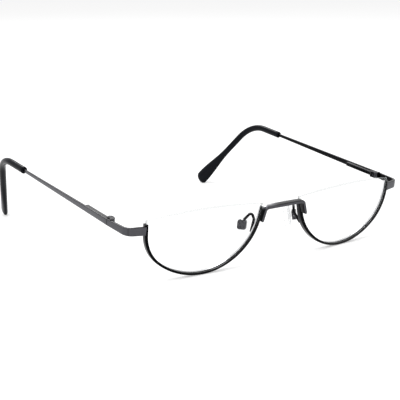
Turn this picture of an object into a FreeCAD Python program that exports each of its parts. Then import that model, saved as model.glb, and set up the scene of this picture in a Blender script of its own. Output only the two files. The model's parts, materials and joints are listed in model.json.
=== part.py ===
import FreeCAD, Part
import math
import os

# Half eye reading glasses, in millimetres.
# Every piece is drawn in the wearing frame: x=0 is the mirror plane, +X the wearer's
# left, -Y the front, +Y back along the temples, z=0 the line through the lenses' top
# corners. The left side is drawn, the right side is its mirror image, and the whole is
# then tipped back until it stands on its rims and temple tips, with +Z up.

# Lens outline: it is followed from its lowest point to each end along two arcs and a line.
lens_axis_x = 37.55
lens_axis_y = 0.575
lens_wrap = 5.0
lens_depth = 25.1
lowest_point_u = -2.1
outer_radii = (30.4, 16.2)
outer_turns = (38.8, 49.2)
nasal_radii = (26.6, 21.0)
nasal_turns = (52.0, 25.0)
rim_end_height = -1.9
lens_end_height = -0.5
top_edge_rise = 2.4

# Lens and its groove
curve_radius = 100.0
lens_front_setback = 0.525
lens_centre_thickness = 2.5
lens_back_radius = 170.0
optical_centre = (-3.0, -11.0)
rim_depth = 2.1
rim_wall = 0.9
groove_depth = 0.4
groove_width = 0.65
lens_clearance = 0.03

# Bridge
bridge_front_y = -1.4
bridge_depth = 3.0
bridge_height = 1.35
bridge_half_length = 9.4
bridge_top = -0.95
leg_foot_x = 10.8
leg_foot_z = -7.1
bridge_corner_radius = 1.5
bridge_edge_radius = 0.3

# Endpiece, a strip bent back from the rim to the hinge
strip_thickness = 1.1
temple_inner_x = 67.75
joint_y = 18.6
joint_gap = 0.06
endpiece_corner = (67.45, 6.4)
endpiece_bend_radius = 3.4
endpiece_lean = 13.0
lug_z = -4.35
strip_z = -4.25
joint_height = 2.45
bend_height = 3.0
lug_height = 3.45

# Hinge: a two-eared block on the endpiece, an eye between its ears and a screw
hinge_setback = 1.0
hinge_offset = 1.25
barrel_radius = 1.2
barrel_top = -2.7
barrel_bottom = -5.2
eye_z = -4.2
eye_height = 0.95
eye_clearance = 0.05
eye_side_clearance = 0.12
foot_length = 2.7
foot_width = 1.0
hinge_screw_radius = 0.45
hinge_screw_clearance = 0.03
screw_head_radius = 0.8
screw_head_height = 0.4
screw_head_recess = 0.06
screw_slot_width = 0.28
screw_slot_depth = 0.2

# Spring hinge in its box on the temple
box_length = 15.5
box_depth = 1.7
box_height = 1.65
box_edge_radius = 0.45
box_front_gap = 0.15
mouth_length = 2.4
slider_width = 1.2
slider_clearance = 0.05
bore_radius = 0.6
shank_radius = 0.25
stop_length = 1.0
spring_travel = 1.2
spring_wire_radius = 0.12
spring_coil_radius = 0.43
spring_pitch = 0.72
spring_turns = 11
nut_radius = 0.52
nut_length = 1.0
rear_wall = 1.0

# Temple bar and the wire core in its tip
temple_length = 68.4
bar_end_thickness = 0.85
bar_end_height = 1.35
bar_corner_radius = 0.3
core_radius = 0.5
core_end_gap = 7.0
core_clearance = 0.02

# Temple tip
bend_corner_y = 108.4
tip_end = (55.4, 132.5, -39.2)
bend_radius = 18.0
sleeve_radius = 1.48
paddle_half_width = 3.25
paddle_half_thickness = 1.4
paddle_length = 24.0
paddle_full_length = 3.5
paddle_lip = 0.03
paddle_steps = 5
tip_round = 2.4
tip_round_angles = (0, 15, 30, 49, 67, 82)
tip_twist = -18.0

# Nose pads: arm, box, screw, and the pad with its insert
arm_radius = 0.55
arm_root_u = -24.72
arm_root_v = -12.4
arm_root_setback = 1.35
arm_steps = ((-2.4, 1.6, 4.4), (-1.9, 2.7, 7.1), (0.2, 4.6, 3.5))
arm_bend_radius = 0.9
pad_box_step = (0.8, 4.8, 1.6)
pad_splay = 42.0
pad_cant = 12.0
pad_box_width = 3.6
pad_box_height = 3.8
pad_box_thickness = 1.8
pad_box_corner = 0.9
lug_width = 1.2
lug_clearance = 0.06
lug_radius = 0.58
pad_screw_radius = 0.35
pad_screw_clearance = 0.03
pad_screw_head_radius = 0.6
pad_screw_head = 0.3
pad_gap = 0.45
pad_height = 13.0
pad_width = 7.4
pad_thickness = 2.9
insert_height = 8.0
insert_width = 4.0
insert_thickness = 0.6
insert_depth = 0.5
insert_corner = 1.8
pad_face_share = 0.5
pad_steps = 4


def vec(x, y, z):
    return FreeCAD.Vector(x, y, z)


origin = vec(0, 0, 0)
x_axis = vec(1, 0, 0)
y_axis = vec(0, 1, 0)
z_axis = vec(0, 0, 1)

# places that follow from the sizes above
temple_x = temple_inner_x + strip_thickness / 2
hinge_x = temple_inner_x - hinge_offset
hinge_y = joint_y + hinge_setback
hinge_point = vec(hinge_x, hinge_y, eye_z)
head_seat_z = barrel_top - screw_head_recess - screw_head_height
box_x = temple_inner_x - box_depth / 2
box_front_y = hinge_y + barrel_radius + box_front_gap
bore_front_y = box_front_y + mouth_length
spring_front_y = bore_front_y + stop_length
spring_length = spring_turns * spring_pitch + 2 * spring_wire_radius
nut_y = spring_front_y + spring_length
mouth_y = joint_y + temple_length
core_x = temple_inner_x + bar_end_thickness / 2
pad_face = pad_box_thickness / 2 + pad_gap


def arc(start, middle, end):
    return Part.Arc(start, middle, end).toShape()


def line(start, end):
    return Part.LineSegment(start, end).toShape()


def closed_face(edges):
    return Part.Face(Part.Wire(Part.sortEdges(edges)[0]))


def polygon_face(points):
    return Part.Face(Part.makePolygon(list(points) + [points[0]]))


def block(low, high):
    size = high - low
    return Part.makeBox(size.x, size.y, size.z, low)


def rod(start, direction, length, radius):
    return Part.makeCylinder(radius, length, start, direction)


def rounded_path(points, radius):
    """Straight runs joined by tangent arcs, as one wire."""
    edges = []
    last = points[0]
    for before, corner, after in zip(points, points[1:], points[2:]):
        back = (before - corner).normalize()
        ahead = (after - corner).normalize()
        half_turn = (math.pi - back.getAngle(ahead)) / 2
        reach = radius * math.tan(half_turn)
        inward = (back + ahead).normalize()
        centre_distance = radius / math.cos(half_turn)
        start = corner + back * reach
        end = corner + ahead * reach
        middle = corner + inward * (centre_distance - radius)
        edges.append(line(last, start))
        edges.append(arc(start, middle, end))
        last = end
    edges.append(line(last, points[-1]))
    return Part.Wire(edges)


def tube(path, radius):
    """A round wire swept along a path."""
    first = path.OrderedEdges[0]
    start = first.valueAt(first.FirstParameter)
    tangent = first.tangentAt(first.FirstParameter)
    profile = Part.Wire(Part.makeCircle(radius, start, tangent))
    return path.makePipeShell([profile], True, False)


# Front, drawn in the lens frame: u outward and v up in the lens plane, the depth along Y

def outline_side(side, radii, turns, offset, top):
    """Edges from the lowest point to one end of the outline, grown outward by an offset."""
    centre_u = lowest_point_u
    centre_v = radii[0] - lens_depth
    heading = 0.0
    edges = []

    def point(angle, radius):
        return vec(centre_u + side * radius * math.sin(angle), 0, centre_v - radius * math.cos(angle))

    for number, (radius, turn) in enumerate(zip(radii, turns)):
        if number:
            step = radii[number - 1] - radius
            centre_u += side * step * math.sin(heading)
            centre_v -= step * math.cos(heading)
        sweep = math.radians(turn)
        grown = radius + offset
        edges.append(arc(point(heading, grown), point(heading + sweep / 2, grown),
                         point(heading + sweep, grown)))
        heading += sweep
    last = point(heading, radii[-1] + offset)
    rise = top - last.z
    end = last + vec(side * rise / math.tan(heading), 0, rise)
    edges.append(line(last, end))
    return edges, end


def outline(offset, top):
    """Edges of the lens outline, its outer end and its nasal end."""
    outer, outer_end = outline_side(1, outer_radii, outer_turns, offset, top)
    nasal, nasal_end = outline_side(-1, nasal_radii, nasal_turns, offset, top)
    return outer + nasal, outer_end, nasal_end


blank_front = -10.0
blank_depth = 26.0
blank_top = 8.0


def prism(face):
    face.translate(vec(0, blank_front, 0))
    return face.extrude(vec(0, blank_depth, 0))


def blank(offset):
    """The outline filled in, open upward to a height well above the lens."""
    edges, outer_end, nasal_end = outline(offset, blank_top)
    return prism(closed_face(edges + [line(nasal_end, outer_end)]))


def band(inner, outer):
    """The strip between two offsets of the outline, ending at the height of the rim's ends."""
    inner_edges, inner_outer, inner_nasal = outline(inner, rim_end_height)
    outer_edges, outer_outer, outer_nasal = outline(outer, rim_end_height)
    ends = [line(inner_outer, outer_outer), line(inner_nasal, outer_nasal)]
    return prism(closed_face(inner_edges + outer_edges + ends))


def ball(growth):
    """The sphere that the middle of the rim lies on, grown by an amount."""
    return Part.makeSphere(curve_radius + growth, vec(0, curve_radius, 0))


def curved_layer(solid, half_depth):
    return solid.common(ball(half_depth)).cut(ball(-half_depth))


def to_wearing(shape):
    shape = shape.copy()
    shape.rotate(origin, z_axis, lens_wrap)
    shape.translate(vec(lens_axis_x, lens_axis_y, 0))
    return shape


def make_rim():
    inner = -rim_wall / 2
    body = curved_layer(band(inner, rim_wall / 2), rim_depth / 2)
    groove = curved_layer(band(inner - rim_wall, inner + groove_depth), groove_width / 2)
    return to_wearing(body.cut(groove))


def top_cylinder(inner_offset):
    """A cylinder whose upper side is the lens's arched top edge."""
    _, outer_end, nasal_end = outline(inner_offset, lens_end_height)
    chord = outer_end.x - nasal_end.x
    radius = (chord * chord / 4 + top_edge_rise ** 2) / (2 * top_edge_rise)
    middle = (outer_end.x + nasal_end.x) / 2
    centre = vec(middle, blank_front, lens_end_height + top_edge_rise - radius)
    return rod(centre, y_axis, blank_depth, radius)


def make_lens():
    edge = -rim_wall / 2 - lens_clearance
    ridge = curved_layer(blank(edge + groove_depth), groove_width / 2 - lens_clearance)
    front = ball(rim_depth / 2 - lens_front_setback)
    depth = curve_radius - math.sqrt(front.Faces[0].Surface.Radius ** 2
                                     - optical_centre[0] ** 2 - optical_centre[1] ** 2)
    vertex = vec(optical_centre[0], depth, optical_centre[1])
    inward = (vec(0, curve_radius, 0) - vertex).normalize()
    back_centre = vertex + inward * (lens_centre_thickness + lens_back_radius)
    back = Part.makeSphere(lens_back_radius, back_centre)
    body = blank(edge).common(front).cut(back)
    lens = body.fuse(ridge.common(front)).common(top_cylinder(edge))
    return to_wearing(lens.removeSplitter())


def make_bridge():
    half = bridge_height / 2
    bar_z = bridge_top - half
    foot_z = leg_foot_z + half
    points = [vec(-leg_foot_x, bridge_front_y, foot_z), vec(-bridge_half_length, bridge_front_y, bar_z),
              vec(bridge_half_length, bridge_front_y, bar_z), vec(leg_foot_x, bridge_front_y, foot_z)]
    path = rounded_path(points, bridge_corner_radius)
    section = Part.Face(path.makeOffset2D(half))
    bar = section.extrude(vec(0, bridge_depth, 0))
    front_edges = [e for e in bar.Edges if e.BoundBox.YMax < bridge_front_y + 1e-3]
    bar = bar.makeFillet(bridge_edge_radius, front_edges)
    rim_front = to_wearing(ball(rim_depth / 2))
    return bar.cut([rim_front, mirrored(rim_front)])


def strip_outline(path, thickness):
    """The plan of a strip bent once, from its start, corner and end."""
    start, corner, end = path
    half = thickness / 2
    first = (corner - start).normalize()
    second = (end - corner).normalize()
    first_side = z_axis.cross(first)
    second_side = z_axis.cross(second)
    bisector = (first_side + second_side).normalize()
    reach = half / bisector.dot(first_side)
    sides = []
    for sign in (1, -1):
        radius = endpiece_bend_radius - sign * half
        points = [start + first_side * sign * half, corner + bisector * sign * reach,
                  end + second_side * sign * half]
        sides.append(rounded_path(points, radius))
    left, right = sides
    ends = [line(left.OrderedVertexes[0].Point, right.OrderedVertexes[0].Point),
            line(left.OrderedVertexes[-1].Point, right.OrderedVertexes[-1].Point)]
    return closed_face(left.Edges + right.Edges + ends)


def make_endpiece():
    corner = vec(endpiece_corner[0], endpiece_corner[1], 0)
    lean = math.radians(endpiece_lean)
    start = corner - vec(math.cos(lean), math.sin(lean), 0) * (corner.x - lens_axis_x) / 2
    rear = vec(temple_x, joint_y, 0)
    low = strip_z - 2 * lug_height
    plan = strip_outline((start, corner, rear), strip_thickness)
    plan.translate(vec(0, 0, low))
    strip = plan.extrude(vec(0, 0, 4 * lug_height))
    front_y = corner.y - 2 * strip_thickness
    stations = ((start.y - strip_thickness, lug_z, lug_height), (front_y, lug_z, lug_height),
                (corner.y + strip_thickness, lug_z, bend_height), (joint_y, strip_z, joint_height))
    lower = [vec(0, y, z - height / 2) for y, z, height in stations]
    upper = [vec(0, y, z + height / 2) for y, z, height in reversed(stations)]
    side = polygon_face(lower + upper).extrude(vec(temple_x + strip_thickness * 2, 0, 0))
    strip = strip.common(side)
    return strip.cut(to_wearing(blank(rim_wall / 2)))


def make_front_hinge(endpiece):
    height = barrel_top - barrel_bottom
    base = vec(hinge_x, hinge_y, barrel_bottom)
    barrel = rod(base, z_axis, height, barrel_radius)
    inner = hinge_x - foot_width
    front = hinge_y - foot_length
    plan = [vec(inner, hinge_y, 0), vec(inner, front + foot_width, 0), vec(inner + foot_width, front, 0),
            vec(temple_x, front, 0), vec(temple_x, joint_y - strip_thickness, 0), vec(hinge_x, hinge_y, 0)]
    foot = polygon_face(plan)
    foot.translate(vec(0, 0, barrel_bottom))
    hinge = barrel.fuse(foot.extrude(vec(0, 0, height))).removeSplitter()
    gap = barrel_radius + eye_side_clearance
    half_slot = eye_height / 2 + eye_clearance
    slot = block(vec(hinge_x - 3 * gap, hinge_y - gap, eye_z - half_slot),
                 vec(hinge_x + 3 * gap, hinge_y + 2 * gap, eye_z + half_slot))
    hole = rod(base, z_axis, height, hinge_screw_radius)
    recess = rod(vec(hinge_x, hinge_y, head_seat_z), z_axis, height, screw_head_radius)
    return hinge.cut([slot, hole, recess, endpiece])


def slotted_head(base, direction, across, radius, height):
    """A cylindrical screw head with a driver's slot along a direction."""
    head = rod(base, direction, height, radius)
    other = direction.cross(across)
    corner = base + direction * (height - screw_slot_depth) - across * (radius * 2)
    points = [corner - other * screw_slot_width / 2, corner + other * screw_slot_width / 2]
    points += [points[1] + across * radius * 4, points[0] + across * radius * 4]
    return head.cut(polygon_face(points).extrude(direction * height))


def make_hinge_screw():
    top = vec(hinge_x, hinge_y, head_seat_z)
    shank = rod(top, z_axis.negative(), head_seat_z - barrel_bottom, hinge_screw_radius)
    head = slotted_head(top, z_axis, x_axis, screw_head_radius, screw_head_height)
    return shank.fuse(head).removeSplitter()


def make_slider():
    bottom = hinge_point - z_axis * eye_height / 2
    eye = rod(bottom, z_axis, eye_height, barrel_radius)
    half = slider_width / 2
    neck = block(vec(box_x - half, hinge_y, bottom.z), vec(box_x + half, bore_front_y - slider_clearance,
                                                           bottom.z + eye_height))
    shank = rod(vec(box_x, bore_front_y - slider_clearance, eye_z), y_axis,
                nut_y + nut_length - bore_front_y + slider_clearance, shank_radius)
    hole = rod(bottom, z_axis, eye_height, hinge_screw_radius + hinge_screw_clearance)
    return eye.fuse([neck, shank]).cut(hole).removeSplitter()


def make_shank_nut():
    start = vec(box_x, nut_y, eye_z)
    return rod(start, y_axis, nut_length, nut_radius).cut(rod(start, y_axis, nut_length, shank_radius))


def make_spring_stop():
    start = vec(box_x, bore_front_y, eye_z)
    hole = rod(start, y_axis, stop_length, shank_radius + slider_clearance)
    return rod(start, y_axis, stop_length, bore_radius).cut(hole)


def coil_point(turn):
    angle = 2 * math.pi * turn
    y = spring_front_y + spring_wire_radius + spring_pitch * turn
    return vec(box_x + spring_coil_radius * math.cos(angle), y, eye_z + spring_coil_radius * math.sin(angle))


def coil_tangent(turn):
    angle = 2 * math.pi * turn
    around = 2 * math.pi * spring_coil_radius
    return vec(-around * math.sin(angle), spring_pitch, around * math.cos(angle)).normalize()


def tangent_arc(start, tangent, end):
    """The arc that leaves one point along a tangent and reaches another."""
    half_chord = (end - start) / 2
    half_turn = tangent.getAngle(half_chord)
    rise = half_chord.Length * math.tan(half_turn / 2)
    side = (tangent - half_chord.normalize() * math.cos(half_turn)).normalize()
    return arc(start, (start + end) / 2 + side * rise, end)


def make_spring():
    """One wire wound along the helix, each quarter turn two arcs with a common tangent."""
    edges = []
    quarter = 0.25
    for number in range(int(spring_turns / quarter)):
        start, end = coil_point(number * quarter), coil_point((number + 1) * quarter)
        out, into = coil_tangent(number * quarter), coil_tangent((number + 1) * quarter)
        chord = end - start
        spread = 1 - out.dot(into)
        along = chord.dot(out + into)
        reach = (math.sqrt(along ** 2 + 2 * spread * chord.dot(chord)) - along) / (2 * spread)
        middle = (start + end + (out - into) * reach) / 2
        join = (middle - start - out * reach).normalize()
        edges.append(tangent_arc(start, out, middle))
        edges.append(tangent_arc(middle, join, end))
    print("hinge spring: least gap between its turns", round(spring_pitch - 2 * spring_wire_radius, 3), "mm")
    return tube(Part.Wire(edges), spring_wire_radius)


def make_spring_box():
    low = vec(temple_inner_x - box_depth, box_front_y, eye_z - box_height / 2)
    high = vec(temple_inner_x, box_front_y + box_length, eye_z + box_height / 2)
    box = block(low, high)
    inner_edges = [e for e in box.Edges if e.BoundBox.XMax < low.x + 1e-3
                   and e.BoundBox.YMax > low.y + 1e-3]
    box = box.makeFillet(box_edge_radius, inner_edges)
    half = slider_width / 2 + slider_clearance
    half_height = eye_height / 2 + slider_clearance
    mouth = block(vec(box_x - half, box_front_y, eye_z - half_height),
                  vec(box_x + half, bore_front_y, eye_z + half_height))
    bore = rod(vec(box_x, bore_front_y, eye_z), y_axis, box_length - mouth_length - rear_wall, bore_radius)
    return box.cut(mouth).cut(bore)


def rounded_rectangle(centre, across, up, width, height, radius):
    """A closed wire round a rectangle with its corners rounded."""
    edges = []
    a = width / 2
    b = height / 2
    diagonal = radius * (1 - math.sqrt(0.5))
    corners = ((a, b), (-a, b), (-a, -b), (a, -b))
    last = None
    for x, y in corners:
        sx = math.copysign(1, x)
        sy = math.copysign(1, y)
        on_side = centre + across * x + up * (y - sy * radius)
        on_top = centre + across * (x - sx * radius) + up * y
        middle = centre + across * (x - sx * diagonal) + up * (y - sy * diagonal)
        start, end = (on_side, on_top) if sx * sy > 0 else (on_top, on_side)
        if last:
            edges.append(line(last, start))
        else:
            first = start
        edges.append(arc(start, middle, end))
        last = end
    edges.append(line(last, first))
    return Part.Wire(edges)


def temple_path(end_gap):
    """From the mouth of the tip back, round the bend and down the hook."""
    start = vec(core_x, mouth_y, strip_z)
    corner = vec(core_x, bend_corner_y, strip_z)
    hook = vec(*tip_end) - corner
    return [start, corner, corner + hook * (1 - end_gap / hook.Length)]


def make_core(radius, end_gap):
    return tube(rounded_path(temple_path(end_gap), bend_radius), radius)


def make_temple_bar():
    front = vec(temple_x, joint_y + joint_gap, strip_z)
    rear = vec(core_x, mouth_y, strip_z)
    sections = [rounded_rectangle(front, x_axis, z_axis, strip_thickness, joint_height, bar_corner_radius),
                rounded_rectangle(rear, x_axis, z_axis, bar_end_thickness, bar_end_height, bar_corner_radius)]
    bar = Part.makeLoft(sections, True, True)
    return bar.fuse(make_core(core_radius, core_end_gap)).removeSplitter()


def ellipse(centre, narrow, wide):
    """A closed ellipse from its half axes, the wide one the longer."""
    return Part.Wire(Part.Ellipse(centre + wide, centre + narrow, centre).toShape())


def paddle_size(left):
    """Half thickness and half width of the paddle at a distance before its end."""
    swell = min(1.0, (paddle_length - left) / (paddle_length - paddle_full_length))
    ease = swell * swell * (3 - 2 * swell)
    root = sleeve_radius + paddle_lip
    thin = root + (paddle_half_thickness - root) * ease
    wide = root + paddle_lip + (paddle_half_width - root - paddle_lip) * ease
    if left < tip_round:
        shrink = math.sqrt(1 - (1 - left / tip_round) ** 2)
        return thin * shrink, wide * shrink
    return thin, wide


def make_temple_tip():
    start, corner, end = temple_path(0)
    hook = (end - corner).normalize()
    turn_axis = (corner - start).cross(hook)
    across = turn_axis.cross(hook).cross(hook).normalize()
    thin_way = FreeCAD.Rotation(hook, tip_twist).multVec(across)
    wide_way = thin_way.cross(hook)

    def section(left):
        thin, wide = paddle_size(left)
        return ellipse(end - hook * left, thin_way * thin, wide_way * wide)

    step = (paddle_length - paddle_full_length) / paddle_steps
    flare = [paddle_length - number * step for number in range(paddle_steps + 1)]
    rounding = [tip_round * (1 - math.sin(math.radians(angle))) for angle in tip_round_angles]
    paddle = Part.makeLoft([section(left) for left in flare + [tip_round]], True, False)
    cap = Part.makeLoft([section(left) for left in rounding], True, False)
    sleeve = tube(rounded_path(temple_path(paddle_length), bend_radius), sleeve_radius)
    sleeve = sleeve.fuse(paddle).cut(make_core(core_radius + core_clearance, core_end_gap - core_clearance))
    return sleeve.fuse(cap)


# Nose pads, drawn in the pad's frame: a along the screw, b up the pad, n towards the nose

def arm_root():
    """The foot of the pad arm, a little behind the middle of the rim's nasal side."""
    depth = curve_radius - math.sqrt(curve_radius ** 2 - arm_root_u ** 2 - arm_root_v ** 2)
    foot = to_wearing(Part.Vertex(arm_root_u, depth + arm_root_setback, arm_root_v))
    return foot.Point


def pad_placement():
    centre = arm_root() + vec(*pad_box_step)
    splay = FreeCAD.Rotation(z_axis, -pad_splay)
    cant = FreeCAD.Rotation(y_axis, -pad_cant)
    return FreeCAD.Placement(centre, splay.multiply(cant))


def to_pad(shape):
    shape = shape.copy()
    shape.Placement = pad_placement().multiply(shape.Placement)
    return shape


def pad_block(width, height, thickness, start_n):
    """A block centred on the pad's frame, from a depth towards the nose along -X."""
    return block(vec(-start_n - thickness, -width / 2, -height / 2), vec(-start_n, width / 2, height / 2))


def make_pad_box():
    box = pad_block(pad_box_width, pad_box_height, pad_box_thickness, -pad_box_thickness / 2)
    corners = [e for e in box.Edges if e.BoundBox.XLength > pad_box_thickness / 2]
    box = box.makeFillet(pad_box_corner, corners)
    slot_width = lug_width + 2 * lug_clearance
    depth = pad_box_thickness / 2 + lug_radius + lug_clearance
    slot = pad_block(slot_width, pad_box_height, depth, pad_box_thickness / 2 - depth)
    hole = rod(vec(0, -pad_box_width, 0), y_axis, 2 * pad_box_width, pad_screw_radius)
    sink = rod(vec(0, pad_box_width / 2 - pad_screw_head, 0), y_axis, pad_box_width, pad_screw_head_radius)
    return to_pad(box.cut(slot).cut(hole).cut(sink))


def make_pad_screw():
    length = pad_box_width - pad_screw_head
    start = vec(0, -pad_box_width / 2, 0)
    shank = rod(start, y_axis, length, pad_screw_radius)
    head = slotted_head(start + y_axis * length, y_axis, z_axis, pad_screw_head_radius, pad_screw_head)
    return to_pad(shank.fuse(head).removeSplitter())


def insert_shape():
    plate = pad_block(insert_width, insert_height, insert_thickness, pad_face + insert_depth)
    corners = [e for e in plate.Edges if e.BoundBox.XLength > insert_thickness / 2]
    plate = plate.makeFillet(insert_corner, corners)
    lug = pad_block(lug_width, 2 * lug_radius, pad_face + insert_depth, 0)
    eye = rod(vec(0, -lug_width / 2, 0), y_axis, lug_width, lug_radius)
    hole = rod(vec(0, -lug_width, 0), y_axis, 2 * lug_width, pad_screw_radius + pad_screw_clearance)
    return plate.fuse([lug, eye]).removeSplitter().cut(hole)


def make_nose_pad():
    """A lens-shaped pad, from sections that shrink towards its two faces."""
    sections = []
    for number in range(pad_steps + 1):
        part = number / pad_steps
        shrink = math.sqrt(1 - (1 - pad_face_share ** 2) * (2 * part - 1) ** 2)
        place = vec(-pad_face - pad_thickness * part, 0, 0)
        sections.append(ellipse(place, y_axis * pad_width / 2 * shrink, z_axis * pad_height / 2 * shrink))
    pad = Part.makeLoft(sections, True, False)
    return to_pad(pad.cut(insert_shape()))


def make_pad_arm(rim, box):
    root = arm_root()
    path = rounded_path([root] + [root + vec(*step) for step in arm_steps], arm_bend_radius)
    return tube(path, arm_radius).cut([rim, box])


# Both sides, and the stance on the floor

levelling_passes = 6


def mirrored(shape):
    return shape.mirror(origin, x_axis)


def make_parts():
    rim = make_rim()
    endpiece = make_endpiece()
    pad_box = make_pad_box()
    one_side = {
        "rim": rim,
        "lens": make_lens(),
        "endpiece": endpiece,
        "front_hinge": make_front_hinge(endpiece),
        "hinge_screw": make_hinge_screw(),
        "hinge_slider": make_slider(),
        "shank_nut": make_shank_nut(),
        "spring_stop": make_spring_stop(),
        "hinge_spring": make_spring(),
        "spring_box": make_spring_box(),
        "temple_bar": make_temple_bar(),
        "temple_tip": make_temple_tip(),
        "pad_arm": make_pad_arm(rim, pad_box),
        "pad_box": pad_box,
        "pad_screw": make_pad_screw(),
        "pad_insert": to_pad(insert_shape()),
        "nose_pad": make_nose_pad(),
    }
    parts = {"bridge": make_bridge()}
    for name, shape in one_side.items():
        parts[name + "_left"] = shape
        parts[name + "_right"] = mirrored(shape)
    return parts


def lowest(shape, tilt):
    turned = shape.copy()
    turned.rotate(origin, x_axis, tilt)
    box = turned.optimalBoundingBox(False, False)
    return box.ZMin, (box.YMin + box.YMax) / 2


def stance(parts):
    """The tilt at which rims and tips stand level, and the move that puts them on the floor."""
    tilt = 0.0
    for _ in range(levelling_passes):
        rim_z, rim_y = lowest(parts["rim_left"], tilt)
        tip_z, tip_y = lowest(parts["temple_tip_left"], tilt)
        tilt -= math.degrees(math.atan2(tip_z - rim_z, tip_y - rim_y))
    whole = Part.makeCompound([parts[name] for name in ("rim_left", "bridge", "temple_tip_left")])
    whole.rotate(origin, x_axis, tilt)
    box = whole.optimalBoundingBox(False, False)
    return tilt, vec(0, -(box.YMin + box.YMax) / 2, -box.ZMin)


def stood(shape, tilt, shift):
    shape = shape.copy()
    shape.rotate(origin, x_axis, tilt)
    shape.translate(shift)
    return shape


def main():
    os.makedirs("parts", exist_ok=True)
    parts = make_parts()
    tilt, shift = stance(parts)
    print("stance: tilt", round(tilt, 4), "shift", round(shift.y, 4), round(shift.z, 4))
    for name, shape in parts.items():
        stood(shape, tilt, shift).exportStep("parts/" + name + ".step")


if __name__ == "__main__":
    main()
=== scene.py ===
import json
import math
import bmesh
import bpy
import numpy as np
from mathutils import Matrix, Vector


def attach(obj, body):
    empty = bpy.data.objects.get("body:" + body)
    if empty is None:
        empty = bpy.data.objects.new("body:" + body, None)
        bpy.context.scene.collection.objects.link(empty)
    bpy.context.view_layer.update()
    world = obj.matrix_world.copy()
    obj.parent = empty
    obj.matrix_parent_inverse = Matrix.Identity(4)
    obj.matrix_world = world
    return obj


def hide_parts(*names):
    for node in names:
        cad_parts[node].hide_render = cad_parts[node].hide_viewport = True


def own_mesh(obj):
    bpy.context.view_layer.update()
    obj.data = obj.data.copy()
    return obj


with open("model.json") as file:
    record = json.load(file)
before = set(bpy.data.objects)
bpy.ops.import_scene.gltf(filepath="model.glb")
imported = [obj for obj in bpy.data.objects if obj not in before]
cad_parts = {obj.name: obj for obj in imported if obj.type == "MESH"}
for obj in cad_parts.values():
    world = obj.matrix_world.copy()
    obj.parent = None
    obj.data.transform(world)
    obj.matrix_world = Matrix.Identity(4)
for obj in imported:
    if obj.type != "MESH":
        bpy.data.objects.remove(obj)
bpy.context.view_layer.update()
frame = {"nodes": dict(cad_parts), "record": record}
print("frame loaded:", len(frame["nodes"]), "solids")

scene = bpy.context.scene
bodyOf = {node: body for body, nodes in frame["record"]["behaviour"]["bodies"].items() for node in nodes}
sides = (("Left", "left", False), ("Right", "right", True))

# The pieces are worked out in the wearing frame, in mm: x outward to the wearer's left, y back
# along the temples, z up from the lenses' top corners. The glasses then tip back onto the floor.
stance = {"tilt": 6.4725, "shiftY": -68.0709, "shiftZ": 25.0912}


def toRow(points):
    # wearing frame in mm to the row frame in m: a turn about X by the tilt, then a shift
    points = np.asarray(points, float)
    tilt = math.radians(stance["tilt"])
    x, y, z = points[..., 0], points[..., 1], points[..., 2]
    back = y * math.cos(tilt) - z * math.sin(tilt) + stance["shiftY"]
    up = y * math.sin(tilt) + z * math.cos(tilt) + stance["shiftZ"]
    return np.stack([x, back, up], -1) / 1000


def unit(v):
    v = np.asarray(v, float)
    return v / np.linalg.norm(v, axis=-1, keepdims=True)


# Meshes

def finishMesh(name, points, faces, sharp):
    # faces are turned outward when the signed volume, a sixth of the sum of a.(b x c), is negative
    mesh = bpy.data.meshes.new(name)
    mesh.from_pydata(points.tolist(), [], faces)
    mesh.update()
    mesh.calc_loop_triangles()
    corners = np.empty(len(mesh.loop_triangles) * 3, int)
    mesh.loop_triangles.foreach_get("vertices", corners)
    a, b, c = points[corners.reshape(-1, 3).T]
    if np.einsum("ij,ij->i", a, np.cross(b, c)).sum() < 0:
        mesh.flip_normals()
    mesh.shade_smooth()
    mesh.set_sharp_from_angle(angle=math.radians(sharp))
    piece = bpy.data.objects.new(name, mesh)
    scene.collection.objects.link(piece)
    return piece


def setPaintedLight(data, domain, values):
    # painted light for the metal's colour, from 0, painted shade, to 1, a painted highlight
    values = np.clip(values, 0, 1).astype(np.float32)
    data.attributes.new("paintedLight", "FLOAT", domain).data.foreach_set("value", values)


def paintedByFacing(normals, outward, amounts):
    # painted light by facing: the largest of amount * (n.d - 0.3) / 0.5 over the given directions d, so
    # faces turned to the front, outward or up are painted lighter
    directions = {"front": (0, -1, 0), "outward": (outward, 0, 0), "top": (0, 0, 1)}
    levels = []
    for name, amount in amounts.items():
        levels.append(amount * np.clip((normals @ directions[name] - 0.3) / 0.5, 0, 1))
    return np.max(levels, 0)


def ringMesh(name, rings, mirror=False, poles=False, sharp=40, paintedLight=None):
    # row k of an n x m x 3 array is a closed ring; quads join each ring to the next, and the two
    # end rings are closed by one flat face each, or by a fan to the middle of the ring
    rings = np.array(rings, float)
    if mirror:
        rings[..., 0] *= -1
    count, around = rings.shape[:2]
    points = toRow(rings).reshape(-1, 3)
    row = np.arange(count - 1)[:, None] * around
    here = np.arange(around)
    ahead = (here + 1) % around
    quads = np.stack([row + here, row + ahead, row + around + ahead, row + around + here], -1)
    faces = quads.reshape(-1, 4).tolist()
    top = (count - 1) * around
    if poles:
        points = np.vstack([points, points[here].mean(0), points[here + top].mean(0)])
        first, last = count * around, count * around + 1
        faces += np.stack([np.full(around, first), ahead, here], -1).tolist()
        faces += np.stack([np.full(around, last), here + top, ahead + top], -1).tolist()
    else:
        faces += [here[::-1].tolist(), (here + top).tolist()]
    piece = finishMesh(name, points, faces, sharp)
    # painted light: faces turned to the given directions are painted lighter, the others painted dark
    if paintedLight:
        normals = np.empty(len(points) * 3)
        piece.data.vertices.foreach_get("normal", normals)
        setPaintedLight(piece.data, "POINT", paintedByFacing(normals.reshape(-1, 3), -1 if mirror else 1, paintedLight))
    return piece


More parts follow.
